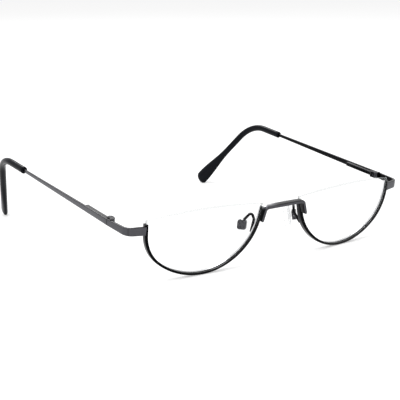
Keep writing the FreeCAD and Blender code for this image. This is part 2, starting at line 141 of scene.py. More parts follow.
def bevelEdges(piece, width, angle=40, segments=2):
    bevel = piece.modifiers.new("roundedEdges", "BEVEL")
    bevel.width = width / 1000
    bevel.segments = segments
    bevel.limit_method = "ANGLE"
    bevel.angle_limit = math.radians(angle)
    bevel.harden_normals = False


# painted light for the small parts: faces turned to the front or outward are painted grey, tops painted
# darker, edges between them near black
smallPaintedLight = {"front": 0.38, "outward": 0.45, "top": 0.12}


def mergedCopy(name, node, width):
    # the CAD solid again, its loose triangles merged, its flat faces made whole, its edges broken
    mesh = bmesh.new()
    mesh.from_mesh(frame["nodes"][node].data)
    bmesh.ops.remove_doubles(mesh, verts=mesh.verts, dist=2e-6)
    bmesh.ops.dissolve_limit(mesh, angle_limit=math.radians(0.5), verts=mesh.verts, edges=mesh.edges)
    data = bpy.data.meshes.new(name)
    mesh.to_mesh(data)
    mesh.free()
    data.shade_smooth()
    data.set_sharp_from_angle(angle=math.radians(35))
    # each face gets painted light by the way it faces
    normals = np.empty(len(data.polygons) * 3)
    data.polygons.foreach_get("normal", normals)
    outward = -1 if node.endswith("right") else 1
    setPaintedLight(data, "FACE", paintedByFacing(normals.reshape(-1, 3), outward, smallPaintedLight))
    piece = bpy.data.objects.new(name, data)
    scene.collection.objects.link(piece)
    if width:
        bevelEdges(piece, width)
    return piece


def place(piece, finish, slot, *nodes):
    piece.data.materials.clear()
    piece.data.materials.append(finish)
    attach(piece, bodyOf[nodes[0]])
    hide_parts(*nodes)


def roundedPolygon(corners, reaches, steps=4):
    # a closed outline: each corner becomes the parabola (1-t)^2 p + 2t(1-t) c + t^2 q, where p and
    # q lie on the two sides at the corner's reach from it
    corners = np.asarray(corners, float)
    reaches = np.broadcast_to(np.asarray(reaches, float), len(corners))[:, None]
    start = corners + unit(np.roll(corners, 1, 0) - corners) * reaches
    end = corners + unit(np.roll(corners, -1, 0) - corners) * reaches
    t = np.linspace(0, 1, steps + 1)[None, :, None]
    points = (1 - t) ** 2 * start[:, None] + 2 * t * (1 - t) * corners[:, None] + t ** 2 * end[:, None]
    return points.reshape(-1, corners.shape[1])


def bentPath(corners, radius, runSteps=3, arcSteps=8):
    # straight runs joined by arcs that touch both; gives the stations and their unit tangents
    corners = np.asarray(corners, float)
    stations, tangents = [], []
    last = corners[0]
    for before, corner, after in zip(corners, corners[1:], corners[2:]):
        back, ahead = unit(before - corner), unit(after - corner)
        halfTurn = (math.pi - math.acos(np.dot(back, ahead))) / 2
        start = corner + back * radius * math.tan(halfTurn)
        centre = corner + unit(back + ahead) * radius / math.cos(halfTurn)
        run = np.linspace(0, 1, runSteps, endpoint=False)[:, None]
        stations.append(last + run * (start - last))
        tangents.append(np.tile(-back, (runSteps, 1)))
        angle = np.linspace(0, 2 * halfTurn, arcSteps, endpoint=False)[:, None]
        outward = (start - centre) / radius
        stations.append(centre + radius * (outward * np.cos(angle) - back * np.sin(angle)))
        tangents.append(-back * np.cos(angle) - outward * np.sin(angle))
        last = corner + ahead * radius * math.tan(halfTurn)
    run = np.linspace(0, 1, runSteps + 1)[:, None]
    stations.append(last + run * (corners[-1] - last))
    tangents.append(np.tile(unit(corners[-1] - last), (runSteps + 1, 1)))
    return np.vstack(stations), np.vstack(tangents)


def carry(stations, tangents, normal, across, along):
    # a profile in a plane square to the path: station + across * b + along * (b x tangent), where
    # b is the given normal with its part along the tangent taken off
    b = unit(normal - (tangents @ normal)[:, None] * tangents)
    n = np.cross(b, tangents)
    return stations[:, None] + across[..., None] * b[:, None] + along[..., None] * n[:, None]


# Materials

def toLinear(code):
    # sRGB hex to linear: c/12.92 below 0.04045, otherwise ((c+0.055)/1.055)^2.4
    channels = np.array([int(code[i:i + 2], 16) for i in (1, 3, 5)]) / 255
    linear = np.where(channels <= 0.04045, channels / 12.92, ((channels + 0.055) / 1.055) ** 2.4)
    return (*linear.tolist(), 1.0)


def addNode(tree, kind, settings=None, links=None):
    # a setting goes to the node's own property of that name, or else to its socket; links map
    # the node's sockets to the outputs that feed them
    node = tree.nodes.new(kind)
    for key, value in (settings or {}).items():
        if isinstance(key, str) and hasattr(node, key):
            setattr(node, key, value)
        else:
            node.inputs[key].default_value = value
    for key, source in (links or {}).items():
        tree.links.new(source, node.inputs[key])
    return node


def startMaterial(name):
    material = bpy.data.materials.new(name)
    material.use_nodes = True
    material.node_tree.nodes.clear()
    return material, material.node_tree


def closeMaterial(tree, shader):
    addNode(tree, "ShaderNodeOutputMaterial", links={"Surface": shader})


def perMetre(millimetres):
    return 1000 / millimetres


def platedMetal(name, looks):
    # Plated nickel silver, its colour painted light: where the piece's attribute of painted light is high,
    # the metal is painted grey up to a painted highlight;
    # where it is low, on edges and faces turned away, the metal is painted near black, a painted shade. A
    # random drift varies the tone.
    material, tree = startMaterial(name)
    coords = addNode(tree, "ShaderNodeTexCoord")
    grain = addNode(tree, "ShaderNodeMapping", {"Scale": looks["grain"]},
                    {"Vector": coords.outputs["Object"]})
    streaks = addNode(tree, "ShaderNodeTexNoise", {"Scale": 1.0, "Detail": 3.0, "Roughness": 0.6},
                      {"Vector": grain.outputs["Vector"]})
    cloud = addNode(tree, "ShaderNodeTexNoise", {"Scale": perMetre(looks["cloud"]), "Detail": 2.0},
                    {"Vector": coords.outputs["Object"]})
    paintedLightLevel = addNode(tree, "ShaderNodeAttribute", {"attribute_name": "paintedLight"})
    uneven = addNode(tree, "ShaderNodeMapRange", {"To Min": -looks["drift"], "To Max": looks["drift"]},
                     {"Value": cloud.outputs["Fac"]})
    paintedLightAndDrift = addNode(tree, "ShaderNodeMath", {"operation": "ADD", "use_clamp": True},
                   {0: paintedLightLevel.outputs["Fac"], 1: uneven.outputs[0]})
    ramp = addNode(tree, "ShaderNodeValToRGB", links={"Fac": paintedLightAndDrift.outputs[0]})
    stops = ramp.color_ramp.elements
    for level, _ in looks["tones"][1:-1]:
        stops.new(level)
    for stop, (level, code) in zip(stops, looks["tones"]):
        stop.position = level
        stop.color = toLinear(code)
    smooth, rough = looks["roughness"]
    sheen = addNode(tree, "ShaderNodeMapRange", {"To Min": smooth, "To Max": rough},
                    {"Value": streaks.outputs["Fac"]})
    bump = addNode(tree, "ShaderNodeBump", {"Strength": looks["bump"], "Distance": 2e-5},
                   {"Height": streaks.outputs["Fac"]})
    shader = addNode(tree, "ShaderNodeBsdfPrincipled", {"Metallic": 1.0},
                     {"Base Color": ramp.outputs["Color"], "Roughness": sheen.outputs[0],
                      "Normal": bump.outputs[0]})
    closeMaterial(tree, shader.outputs[0])
    return material


def grainOf(across, along, up):
    # a pattern's size in mm along x, y and z
    return perMetre(across), perMetre(along), perMetre(up)


# the colour of the metal for each level of painted light, from painted shade near black to a painted
# highlight
gunmetalTones = ((0.0, "#0c0c0e"), (0.3, "#38383b"), (0.6, "#66666b"), (1.0, "#e4e4e6"))
steelTones = ((0.0, "#3c3c3f"), (0.3, "#626266"), (0.6, "#8c8c90"), (1.0, "#e8e8ea"))

# polishing marks are about 0.05 mm apart and are drawn coarser, so that the render shows them
frameLooks = {"tones": gunmetalTones, "grain": grainOf(0.9, 0.9, 0.9), "cloud": 6.0,
              "drift": 0.05, "roughness": (0.14, 0.28), "bump": 0.15}
# the temple was brushed along its run, so its marks are 8 mm long
templeLooks = {"tones": gunmetalTones, "grain": grainOf(0.5, 8.0, 0.5), "cloud": 9.0,
               "drift": 0.05, "roughness": (0.16, 0.3), "bump": 0.2}
hingeLooks = {"tones": gunmetalTones, "grain": grainOf(0.3, 0.3, 0.3), "cloud": 2.0,
              "drift": 0.12, "roughness": (0.18, 0.34), "bump": 0.2}
# turned steel, plain and a little brighter, with fine rings from the tool
screwLooks = {"tones": steelTones, "grain": grainOf(0.15, 0.15, 0.6), "cloud": 1.0,
              "drift": 0.12, "roughness": (0.15, 0.30), "bump": 0.25}
# spring wire as drawn, duller than the screws
springLooks = {"tones": steelTones, "grain": grainOf(0.2, 0.2, 0.2), "cloud": 1.5,
               "drift": 0.10, "roughness": (0.22, 0.38), "bump": 0.2}

frameMetal = platedMetal("gunmetalPlatedNickelSilver", frameLooks)
templeMetal = platedMetal("gunmetalBrushedTemple", templeLooks)
hingeMetal = platedMetal("nickelSilverHinge", hingeLooks)
screwMetal = platedMetal("turnedStainlessScrew", screwLooks)
springMetal = platedMetal("drawnSpringWire", springLooks)


def clearMaterial(name, looks):
    # A clear, thin material. What is behind it shows straight through, and its skin takes a share
    # that grows towards a grazing view, as Schlick has it: haze + gloss * (1 - cos)^5.
    material, tree = startMaterial(name)
    coords = addNode(tree, "ShaderNodeTexCoord")
    waves = addNode(tree, "ShaderNodeTexNoise", {"Scale": perMetre(looks["waves"]), "Detail": 2.0},
                    {"Vector": coords.outputs["Object"]})
    smooth, rough = looks["roughness"]
    sheen = addNode(tree, "ShaderNodeMapRange", {"To Min": smooth, "To Max": rough},
                    {"Value": waves.outputs["Fac"]})
    tint = addNode(tree, "ShaderNodeMix",
                   {"data_type": "RGBA", 6: toLinear(looks["tint"]), 7: toLinear(looks["pale"])},
                   {0: waves.outputs["Fac"]})
    bump = addNode(tree, "ShaderNodeBump", {"Strength": looks["bump"], "Distance": 1e-5},
                   {"Height": waves.outputs["Fac"]})
    skin = addNode(tree, "ShaderNodeBsdfPrincipled", {"IOR": looks["ior"]},
                   {"Base Color": tint.outputs[2], "Roughness": sheen.outputs[0],
                    "Normal": bump.outputs[0]})
    through = addNode(tree, "ShaderNodeBsdfTransparent")
    facing = addNode(tree, "ShaderNodeLayerWeight", {"Blend": 0.5}, {"Normal": bump.outputs[0]})
    grazing = addNode(tree, "ShaderNodeMath", {"operation": "POWER", 1: 5.0}, {0: facing.outputs["Facing"]})
    share = addNode(tree, "ShaderNodeMath",
                    {"operation": "MULTIPLY_ADD", "use_clamp": True, 1: looks["gloss"], 2: looks["haze"]},
                    {0: grazing.outputs[0]})
    mix = addNode(tree, "ShaderNodeMixShader",
                  links={0: share.outputs[0], 1: through.outputs[0], 2: skin.outputs[0]})
    closeMaterial(tree, mix.outputs[0])
    return material


# allyl lens resin, cast, polished and coated against reflections: clear, with next to no haze
lensLooks = {"tint": "#e6ebea", "pale": "#f4f6f6", "ior": 1.5, "waves": 12.0,
             "roughness": (0.02, 0.06), "bump": 0.02, "gloss": 0.5, "haze": 0.004}
# moulded silicone: clear and soft, its skin a little hazy from handling
siliconeLooks = {"tint": "#a0a8ae", "pale": "#c4cace", "ior": 1.41, "waves": 2.5,
                 "roughness": (0.08, 0.2), "bump": 0.2, "gloss": 0.7, "haze": 0.05}
# polycarbonate core of the pad, moulded: clear with a frosted skin
insertLooks = {"tint": "#98a0a8", "pale": "#bcc4ca", "ior": 1.58, "waves": 1.5,
               "roughness": (0.2, 0.35), "bump": 0.3, "gloss": 0.8, "haze": 0.08}

lensResin = clearMaterial("lensResinPolished", lensLooks)
padSilicone = clearMaterial("siliconeClearMoulded", siliconeLooks)
insertResin = clearMaterial("polycarbonateInsert", insertLooks)


def groundEdge(name, looks):
    # The lens's ground and polished edge: a greyish skin, and more than half of what is behind it
    # shows through, so the eye sees a pale line.
    material, tree = startMaterial(name)
    coords = addNode(tree, "ShaderNodeTexCoord")
    marks = addNode(tree, "ShaderNodeTexNoise", {"Scale": perMetre(looks["marks"]), "Detail": 3.0},
                    {"Vector": coords.outputs["Object"]})
    colour = addNode(tree, "ShaderNodeMix",
                     {"data_type": "RGBA", 6: toLinear(looks["tint"]), 7: toLinear(looks["pale"])},
                     {0: marks.outputs["Fac"]})
    bump = addNode(tree, "ShaderNodeBump", {"Strength": 0.2, "Distance": 1e-5},
                   {"Height": marks.outputs["Fac"]})
    skin = addNode(tree, "ShaderNodeBsdfPrincipled", {"Roughness": looks["roughness"], "IOR": 1.5},
                   {"Base Color": colour.outputs[2], "Normal": bump.outputs[0]})
    through = addNode(tree, "ShaderNodeBsdfTransparent")
    mix = addNode(tree, "ShaderNodeMixShader", {0: looks["skin"]},
                  {1: through.outputs[0], 2: skin.outputs[0]})
    closeMaterial(tree, mix.outputs[0])
    return material


edgeLooks = {"tint": "#7f8788", "pale": "#a0a6a6", "marks": 1.5, "roughness": 0.3, "skin": 0.4}
lensEdge = groundEdge("lensEdgePolished", edgeLooks)


def tipMaterial(name, looks):
    # Cellulose acetate sleeve, moulded and tumbled to a gloss: near black with a blue cast, and
    # faint flow lines along the sleeve.
    material, tree = startMaterial(name)
    coords = addNode(tree, "ShaderNodeTexCoord")
    flow = addNode(tree, "ShaderNodeMapping", {"Scale": looks["flow"]},
                   {"Vector": coords.outputs["Object"]})
    lines = addNode(tree, "ShaderNodeTexNoise", {"Scale": 1.0, "Detail": 3.0},
                    {"Vector": flow.outputs["Vector"]})
    colour = addNode(tree, "ShaderNodeMix",
                     {"data_type": "RGBA", 6: toLinear(looks["deep"]), 7: toLinear(looks["blue"])},
                     {0: lines.outputs["Fac"]})
    handling = addNode(tree, "ShaderNodeTexNoise", {"Scale": perMetre(looks["scuffs"]), "Detail": 4.0},
                       {"Vector": coords.outputs["Object"]})
    smooth, rough = looks["roughness"]
    gloss = addNode(tree, "ShaderNodeMapRange", {"To Min": smooth, "To Max": rough},
                    {"Value": handling.outputs["Fac"]})
    bump = addNode(tree, "ShaderNodeBump", {"Strength": looks["bump"], "Distance": 2e-5},
                   {"Height": handling.outputs["Fac"]})
    shader = addNode(tree, "ShaderNodeBsdfPrincipled",
                     {"IOR": looks["ior"], "Specular IOR Level": looks["specular"]},
                     {"Base Color": colour.outputs[2], "Roughness": gloss.outputs[0],
                      "Normal": bump.outputs[0]})
    closeMaterial(tree, shader.outputs[0])
    return material


tipLooks = {"deep": "#06070a", "blue": "#11141c", "flow": grainOf(2.0, 9.0, 2.0), "scuffs": 0.8,
            "roughness": (0.08, 0.2), "bump": 0.06, "ior": 1.48, "specular": 0.08}
tipAcetate = tipMaterial("acetateTipBlackNavy", tipLooks)
print("materials ready")


# Front: the lens outline, the two rims and the lenses

lensShape = {"axisX": 37.55, "axisY": 0.575, "wrap": 5.0, "depth": 25.1, "lowestU": -2.1,
             "outerRadii": (30.4, 16.2), "outerTurns": (38.8, 49.2),
             "nasalRadii": (26.6, 21.0), "nasalTurns": (52.0, 25.0),
             "endHeight": -0.5, "topRise": 2.4, "curve": 100.0, "frontSetback": 0.525, "backRadius": 170.0,
             "thickness": 2.5, "centreU": -3.0, "centreV": -11.0, "edgeBevel": 0.12,
             "arcSteps": 26, "topSteps": 60, "faceRings": 6}
# the last three entries set the rim's painted light: painted shade on the outer wall, a painted reflection
# on the inner wall, and the depth where that reflection starts
rimShape = {"depth": 2.1, "wall": 0.9, "grooveDepth": 0.4, "grooveWidth": 0.65, "clearance": 0.03,
            "endHeight": -1.9, "outerRound": 0.28, "lipRound": 0.08, "endRound": 0.1,
            "lipGrowth": 0.18, "outerPaintedShade": 0.22, "innerPaintedReflection": 0.95, "brightFrom": -0.4}


def outlineSide(side, offset, top):
    # from the lowest point outward: two arcs c + (r + offset)(side sin a, -cos a), then the
    # tangent line up to the height top; the offset grows the outline outward
    name = "outer" if side > 0 else "nasal"
    radii, turns = lensShape[name + "Radii"], lensShape[name + "Turns"]
    centre = np.array([lensShape["lowestU"], radii[0] - lensShape["depth"]])
    heading = 0.0
    runs = []
    for number, (radius, turn) in enumerate(zip(radii, np.radians(turns))):
        if number:
            step = radii[number - 1] - radius
            centre = centre + step * np.array([side * math.sin(heading), -math.cos(heading)])
        angle = heading + np.linspace(0, turn, lensShape["arcSteps"], endpoint=number > 0)
        runs.append(centre + (radius + offset) * np.stack([side * np.sin(angle), -np.cos(angle)], -1))
        heading += turn
    last = runs[-1][-1]
    rise = top - last[1]
    share = np.linspace(0, 1, 5)[1:, None]
    runs.append(last + share * np.array([side * rise / math.tan(heading), rise]))
    return np.vstack(runs)


def outline(offset, top):
    # from the outer end down round the bottom to the nasal end
    return np.vstack([outlineSide(1, offset, top)[::-1], outlineSide(-1, offset, top)[1:]])


def onBall(flat, growth):
    # the depth of the front of a ball of the frame's curve, grown by an amount
    radius = lensShape["curve"]
    return radius - np.sqrt((radius + growth) ** 2 - (flat ** 2).sum(-1))


def toWearing(flat, depth):
    # lens frame to wearing frame: a turn about Z by the wrap, then out to the lens's place
    wrap = math.radians(lensShape["wrap"])
    x = flat[..., 0] * math.cos(wrap) - depth * math.sin(wrap) + lensShape["axisX"]
    y = flat[..., 0] * math.sin(wrap) + depth * math.cos(wrap) + lensShape["axisY"]
    return np.stack([x, y, flat[..., 1]], -1)


def rimRings():
    # a U-shaped profile (offset n, depth d) carried along the outline, its depth taken along the ball
    half, deep = rimShape["wall"] / 2, rimShape["depth"] / 2
    groove, floor = rimShape["grooveWidth"] / 2, rimShape["grooveDepth"] - half
    inner = -half - rimShape["lipGrowth"]
    corners = [(half, -deep), (half, deep), (inner, deep), (inner, groove), (floor, groove),
               (floor, -groove), (inner, -groove), (inner, -deep)]
    lip, outer = rimShape["lipRound"], rimShape["outerRound"]
    profile = roundedPolygon(corners, (outer, outer, lip, lip, lip, lip, lip, lip), 4)
    # painted light: the front is painted near black, the outer wall painted dark grey, lighter towards the
    # back, and the wall behind the lens's face painted bright, a painted reflection
    n, d = profile.T
    inside = (n < -half - rimShape["lipGrowth"] / 2) & (d > rimShape["brightFrom"]) & (d < deep - lip / 2)
    paintedLight = np.where(inside, rimShape["innerPaintedReflection"], rimShape["outerPaintedShade"] * (d + deep) / (2 * deep))
    columns = []
    for n, d in profile:
        flat = outline(n, rimShape["endHeight"])
        columns.append(toWearing(flat, onBall(flat, -d)))
    return np.stack(columns, 1), paintedLight


def lensLoop(offset, inset):
    # the lens's closed outline: the offset outline below, and above it the arched top, an arc
    # through both upper corners; inset pulls the top edge down
    bottom = outline(offset, lensShape["endHeight"] - inset)
    edge = outline(-rimShape["wall"] / 2 - rimShape["clearance"], lensShape["endHeight"])
    chord = edge[0, 0] - edge[-1, 0]
    radius = (chord ** 2 / 4 + lensShape["topRise"] ** 2) / (2 * lensShape["topRise"])
    middle = (edge[0, 0] + edge[-1, 0]) / 2
    across = np.linspace(bottom[-1, 0], bottom[0, 0], lensShape["topSteps"] + 1)[1:-1]
    centre = lensShape["endHeight"] + lensShape["topRise"] - radius
    top = np.stack([across, centre + np.sqrt((radius - inset) ** 2 - (across - middle) ** 2)], -1)
    return np.vstack([bottom, top]), len(bottom)


def lensRings():
    # front face from its middle to the edge, over the bevelled edge and back to the middle of the
    # rear face; the front is the ball, the rear a flatter sphere, so the middle is thickest
    growth = rimShape["depth"] / 2 - lensShape["frontSetback"]
    middle = np.array([lensShape["centreU"], lensShape["centreV"]])
    vertex = np.array([*middle, onBall(middle, growth)])
    inward = unit(np.array([0, 0, lensShape["curve"]]) - vertex)
    behind = vertex + inward * (lensShape["thickness"] + lensShape["backRadius"])

    def rearDepth(flat):
        return behind[2] - np.sqrt(lensShape["backRadius"] ** 2 - ((flat - behind[:2]) ** 2).sum(-1))

    edgeOffset = -rimShape["wall"] / 2 - rimShape["clearance"]
    bevel = lensShape["edgeBevel"]
    inner, _ = lensLoop(edgeOffset - bevel, bevel)
    edge, below = lensLoop(edgeOffset, 0)
    ridge = edge.copy()
    ridge[:below] = outline(edgeOffset + rimShape["grooveDepth"], lensShape["endHeight"])
    half = rimShape["grooveWidth"] / 2 - rimShape["clearance"]
    shares = (0.04, 0.2, 0.4, 0.6, 0.8, 0.93, 1.0)
    rings = [toWearing(middle + share * (inner - middle), onBall(middle + share * (inner - middle), growth))
             for share in shares]
    rings.append(toWearing(edge, onBall(edge, growth) + bevel))
    rings.append(toWearing(edge, onBall(edge, half)))
    rings.append(toWearing(ridge, onBall(ridge, half)))
    rings.append(toWearing(ridge, onBall(ridge, -half)))
    rings.append(toWearing(edge, onBall(edge, -half)))
    rings.append(toWearing(edge, np.maximum(rearDepth(edge) - bevel, onBall(edge, -half) + 0.01)))
    rings += [toWearing(middle + share * (inner - middle), rearDepth(middle + share * (inner - middle)))
              for share in shares[::-1]]
    return np.stack(rings)


for title, side, mirror in sides:
    rings, paintedLight = rimRings()
    rim = ringMesh("rim" + title, rings, mirror)
    # the rim's painted light follows its profile, the same all along the outline
    setPaintedLight(rim.data, "POINT", np.tile(paintedLight, len(rings)))
    bevelEdges(rim, rimShape["endRound"], 60)
    place(rim, frameMetal, "frame_metal", "rim_" + side)
    lensRows = lensRings()
    lens = ringMesh("lens" + title, lensRows, mirror, poles=True, sharp=25)
    place(lens, lensResin, "lens_clear", "lens_" + side)
    # the rows of quads between the two faces are the edge; each face ends in a fan at its middle
    lens.data.materials.append(lensEdge)
    slots = np.zeros(len(lens.data.polygons), int)
    around = lensRows.shape[1]
    slots[lensShape["faceRings"] * around:-(lensShape["faceRings"] + 2) * around] = 1
    lens.data.polygons.foreach_set("material_index", slots)
print("rims and lenses made")


# Bridge

bridgeShape = {"frontY": -1.4, "depth": 3.0, "height": 1.35, "halfLength": 9.4, "top": -0.95,
               "footX": 10.8, "footZ": -7.1, "corner": 1.5, "frontRound": 0.34, "backRound": 0.25,
               "sink": 0.08, "edgeRound": 0.06, "frontPaintedLight": 0.38}
# painted highlight on the bar's top, standing for a lamp's reflection: its level along x in mm, and from
# front to rear as a share of the depth
topPaintedHighlight = {"x": (-8.0, -5.6, -3.6, -2.2, 0.0, 3.0, 8.0),
             "levels": (1.0, 1.0, 0.5, 0.1, 0.05, 0.2, 0.4),
             "share": (0.3, 0.6, 0.85, 1.0), "factors": (0.5, 1.0, 1.0, 0.3)}


def rimFrontDepth(points):
    # y of the ball that the rims' fronts lie on, for points on either side of the nose
    wrap = math.radians(lensShape["wrap"])
    x = np.abs(points[..., 0]) - lensShape["axisX"]
    ballX = -lensShape["curve"] * math.sin(wrap)
    ballY = lensShape["axisY"] + lensShape["curve"] * math.cos(wrap)
    reach = (lensShape["curve"] + rimShape["depth"] / 2) ** 2 - (x - ballX) ** 2 - points[..., 2] ** 2
    return ballY - np.sqrt(reach)


def bridgeRings():
    # a rounded rectangle carried along the bent line in the front's plane; its back is at the
    # bar's depth, or at the rims' fronts where the legs meet them; half a circle ends each leg
    half = bridgeShape["height"] / 2
    barZ, footZ = bridgeShape["top"] - half, bridgeShape["footZ"] + half
    foot, bar = bridgeShape["footX"], bridgeShape["halfLength"]
    stations, tangents = bentPath([(-foot, 0, footZ), (-bar, 0, barZ), (bar, 0, barZ), (foot, 0, footZ)],
                                  bridgeShape["corner"], 9, 10)
    turn = np.radians([18, 36, 54, 70, 82])
    stretch = half * np.sin(turn)[:, None]
    before = (stations[0] - tangents[0] * stretch)[::-1]
    after = stations[-1] + tangents[-1] * stretch
    width = np.concatenate([np.cos(turn)[::-1], np.ones(len(stations)), np.cos(turn)])
    more = (len(turn), 1)
    directions = np.vstack([np.tile(tangents[0], more), tangents, np.tile(tangents[-1], more)])
    stations = np.vstack([before, stations, after])
    corners = [(-half, 0), (half, 0), (half, 1), (-half, 1)]
    front, rear = bridgeShape["frontRound"], bridgeShape["backRound"]
    profile = roundedPolygon(corners, (front, front, rear, rear), 5)
    sideways = np.cross(directions, (0, 1, 0))
    rings = stations[:, None] + (profile[:, 0] * width[:, None])[..., None] * sideways[:, None]
    # y goes from the front face back by the profile's second value, a share of the local depth
    rimFront = rimFrontDepth(rings) + bridgeShape["sink"]
    depth = np.minimum(bridgeShape["depth"], rimFront - bridgeShape["frontY"])
    rings[..., 1] = bridgeShape["frontY"] + profile[:, 1] * depth
    return rings


rings = bridgeRings()
bridge = ringMesh("bridge", rings, sharp=50)
# painted light: the front face is painted grey; the top has a painted highlight that goes from bright at
# the wearer's right to dark and up to grey
normals = np.empty(rings.size)
bridge.data.vertices.foreach_get("normal", normals)
normals = normals.reshape(-1, 3)
depthShare = (rings[..., 1].ravel() - bridgeShape["frontY"]) / bridgeShape["depth"]
top = paintedByFacing(normals, 1, {"top": 1.0}) * np.interp(depthShare, topPaintedHighlight["share"], topPaintedHighlight["factors"])
top *= np.interp(rings[..., 0].ravel(), topPaintedHighlight["x"], topPaintedHighlight["levels"])
setPaintedLight(bridge.data, "POINT", np.maximum(top, paintedByFacing(normals, 1, {"front": bridgeShape["frontPaintedLight"]})))
bevelEdges(bridge, bridgeShape["edgeRound"], 60)
place(bridge, frameMetal, "frame_metal", "bridge")


# Endpieces, strips bent back from the rims to the hinges

endpieceShape = {"thickness": 1.1, "temple": 67.75, "jointY": 18.6, "cornerX": 67.45, "cornerY": 6.4,
                 "bend": 3.4, "lean": 13.0, "lugZ": -4.35, "stripZ": -4.25,
                 "jointHeight": 2.45, "bendHeight": 3.0, "lugHeight": 3.45,
                 "edgeRound": 0.28, "sink": 0.15, "endRound": 0.12,
                 "paintedLight": {"front": 0.42, "outward": 0.42, "top": 0.1}}


def slideToRim(rings):
    # the first rings slide along the strip to the rim's outer wall, a little inside it; those that
    # all lie on the wall are dropped but for the last
    wrap, lean = math.radians(lensShape["wrap"]), math.radians(endpieceShape["lean"])
    radii, turns = lensShape["outerRadii"], np.radians(lensShape["outerTurns"])
    step = radii[0] - radii[1]
    centreU = lensShape["lowestU"] + step * math.sin(turns[0])
    centreV = radii[0] - lensShape["depth"] - step * math.cos(turns[0])
    wall = radii[1] + rimShape["wall"] / 2 - endpieceShape["sink"]
    limitU = centreU + np.sqrt(wall ** 2 - (rings[..., 2] - centreV) ** 2)
    fromAxisX, fromAxisY = rings[..., 0] - lensShape["axisX"], rings[..., 1] - lensShape["axisY"]
    u = fromAxisX * math.cos(wrap) + fromAxisY * math.sin(wrap)
    rate = math.cos(lean) * math.cos(wrap) + math.sin(lean) * math.sin(wrap)
    missing = np.maximum(limitU - u, 0) / rate
    rings[..., 0] += missing * math.cos(lean)
    rings[..., 1] += missing * math.sin(lean)
    hidden = (missing.min(1) > 0).sum() - 1
    return rings[hidden:]


def endpieceRings():
    # a rounded rectangle carried along the bent plan; its height and middle change evenly with y
    lean = math.radians(endpieceShape["lean"])
    corner = np.array([endpieceShape["cornerX"], endpieceShape["cornerY"], 0.0])
    run = (corner[0] - lensShape["axisX"]) / 2
    start = corner - np.array([math.cos(lean), math.sin(lean), 0]) * run
    rear = np.array([endpieceShape["temple"] + endpieceShape["thickness"] / 2, endpieceShape["jointY"], 0])
    stations, tangents = bentPath([start, corner, rear], endpieceShape["bend"], 6, 16)
    y = stations[:, 1]
    marks = [start[1], corner[1] - 2 * endpieceShape["thickness"], corner[1] + endpieceShape["thickness"],
             endpieceShape["jointY"]]
    heights = [endpieceShape["lugHeight"]] * 2 + [endpieceShape["bendHeight"], endpieceShape["jointHeight"]]
    height = np.interp(y, marks, heights)
    middle = np.interp(y, marks, [endpieceShape["lugZ"]] * 3 + [endpieceShape["stripZ"]])
    half = endpieceShape["thickness"] / 2
    reach = endpieceShape["edgeRound"]
    across = np.cross((0, 0, 1), tangents)
    rings = []
    for station, sideways, tall, mid in zip(stations, across, height, middle):
        corners = [(-half, -tall / 2), (half, -tall / 2), (half, tall / 2), (-half, tall / 2)]
        profile = roundedPolygon(corners, reach, 4)
        rings.append(station + profile[:, :1] * sideways + profile[:, 1:] * (0, 0, 1) + (0, 0, mid))
    return slideToRim(np.array(rings))


for title, side, mirror in sides:
    rings = endpieceRings()
    # painted light: front and outward faces are painted grey, the top and the edges painted dark
    endpiece = ringMesh("endpiece" + title, rings, mirror, sharp=50, paintedLight=endpieceShape["paintedLight"])
    bevelEdges(endpiece, endpieceShape["endRound"], 60)
    place(endpiece, frameMetal, "frame_metal", "endpiece_" + side)
print("bridge and endpieces made")


# Temples: the bar, drawn down to a wire core, and the tip

templeShape = {"frontY": 18.66, "thickness": 1.1, "height": 2.45, "endThickness": 0.85, "endHeight": 1.35,
               "mouthY": 87.0, "edgeRound": 0.32, "endRound": 0.12, "core": 0.5, "coreGap": 7.0,
               "bendY": 108.4, "tipEnd": (55.4, 132.5, -39.2), "bend": 18.0,
               "paintedLight": {"outward": 0.45, "top": 0.08}}
tipShape = {"sleeve": 1.48, "halfWidth": 3.25, "halfThickness": 1.4, "length": 24.0, "fullLength": 3.5,
            "round": 2.4, "twist": 18.0, "mouthRound": 0.25, "around": 40}

templeMiddleX = endpieceShape["temple"] + templeShape["thickness"] / 2
coreX = endpieceShape["temple"] + templeShape["endThickness"] / 2
stripZ = endpieceShape["stripZ"]
templeStart = np.array([coreX, templeShape["mouthY"], stripZ])
templeCorner = np.array([coreX, templeShape["bendY"], stripZ])
tipEnd = np.array(templeShape["tipEnd"])
hook = unit(tipEnd - templeCorner)
bendNormal = unit(np.cross((0, 1, 0), hook))


def templeRings():
    # the bar's rounded rectangle shrinks evenly to the mouth of the tip, then a round wire of the
    # same point count follows the bend
    share = np.linspace(0, 1, 24)
    y = templeShape["frontY"] + share * (templeShape["mouthY"] - templeShape["frontY"])
    x = templeMiddleX + share * (coreX - templeMiddleX)
    half = (templeShape["thickness"] + share * (templeShape["endThickness"] - templeShape["thickness"])) / 2
    tall = (templeShape["height"] + share * (templeShape["endHeight"] - templeShape["height"])) / 2
    rings = []
    for cx, cy, a, b in zip(x, y, half, tall):
        profile = roundedPolygon([(-a, -b), (a, -b), (a, b), (-a, b)], templeShape["edgeRound"], 4)
        rings.append(np.stack([cx + profile[:, 0], np.full(len(profile), cy), stripZ + profile[:, 1]], -1))
    angle = np.arctan2(profile[:, 1], profile[:, 0])
    flat = np.stack([np.cos(angle), np.zeros(len(angle)), np.sin(angle)], -1) * templeShape["core"]
    start = templeStart + (0, 0.05, 0)
    stations, tangents = bentPath([start, templeCorner, tipEnd - hook * templeShape["coreGap"]],
                                  templeShape["bend"], 4, 20)
    wire = carry(stations, tangents, bendNormal, flat @ bendNormal, flat @ np.cross(bendNormal, (0, 1, 0)))
    return np.vstack([np.array(rings), wire])


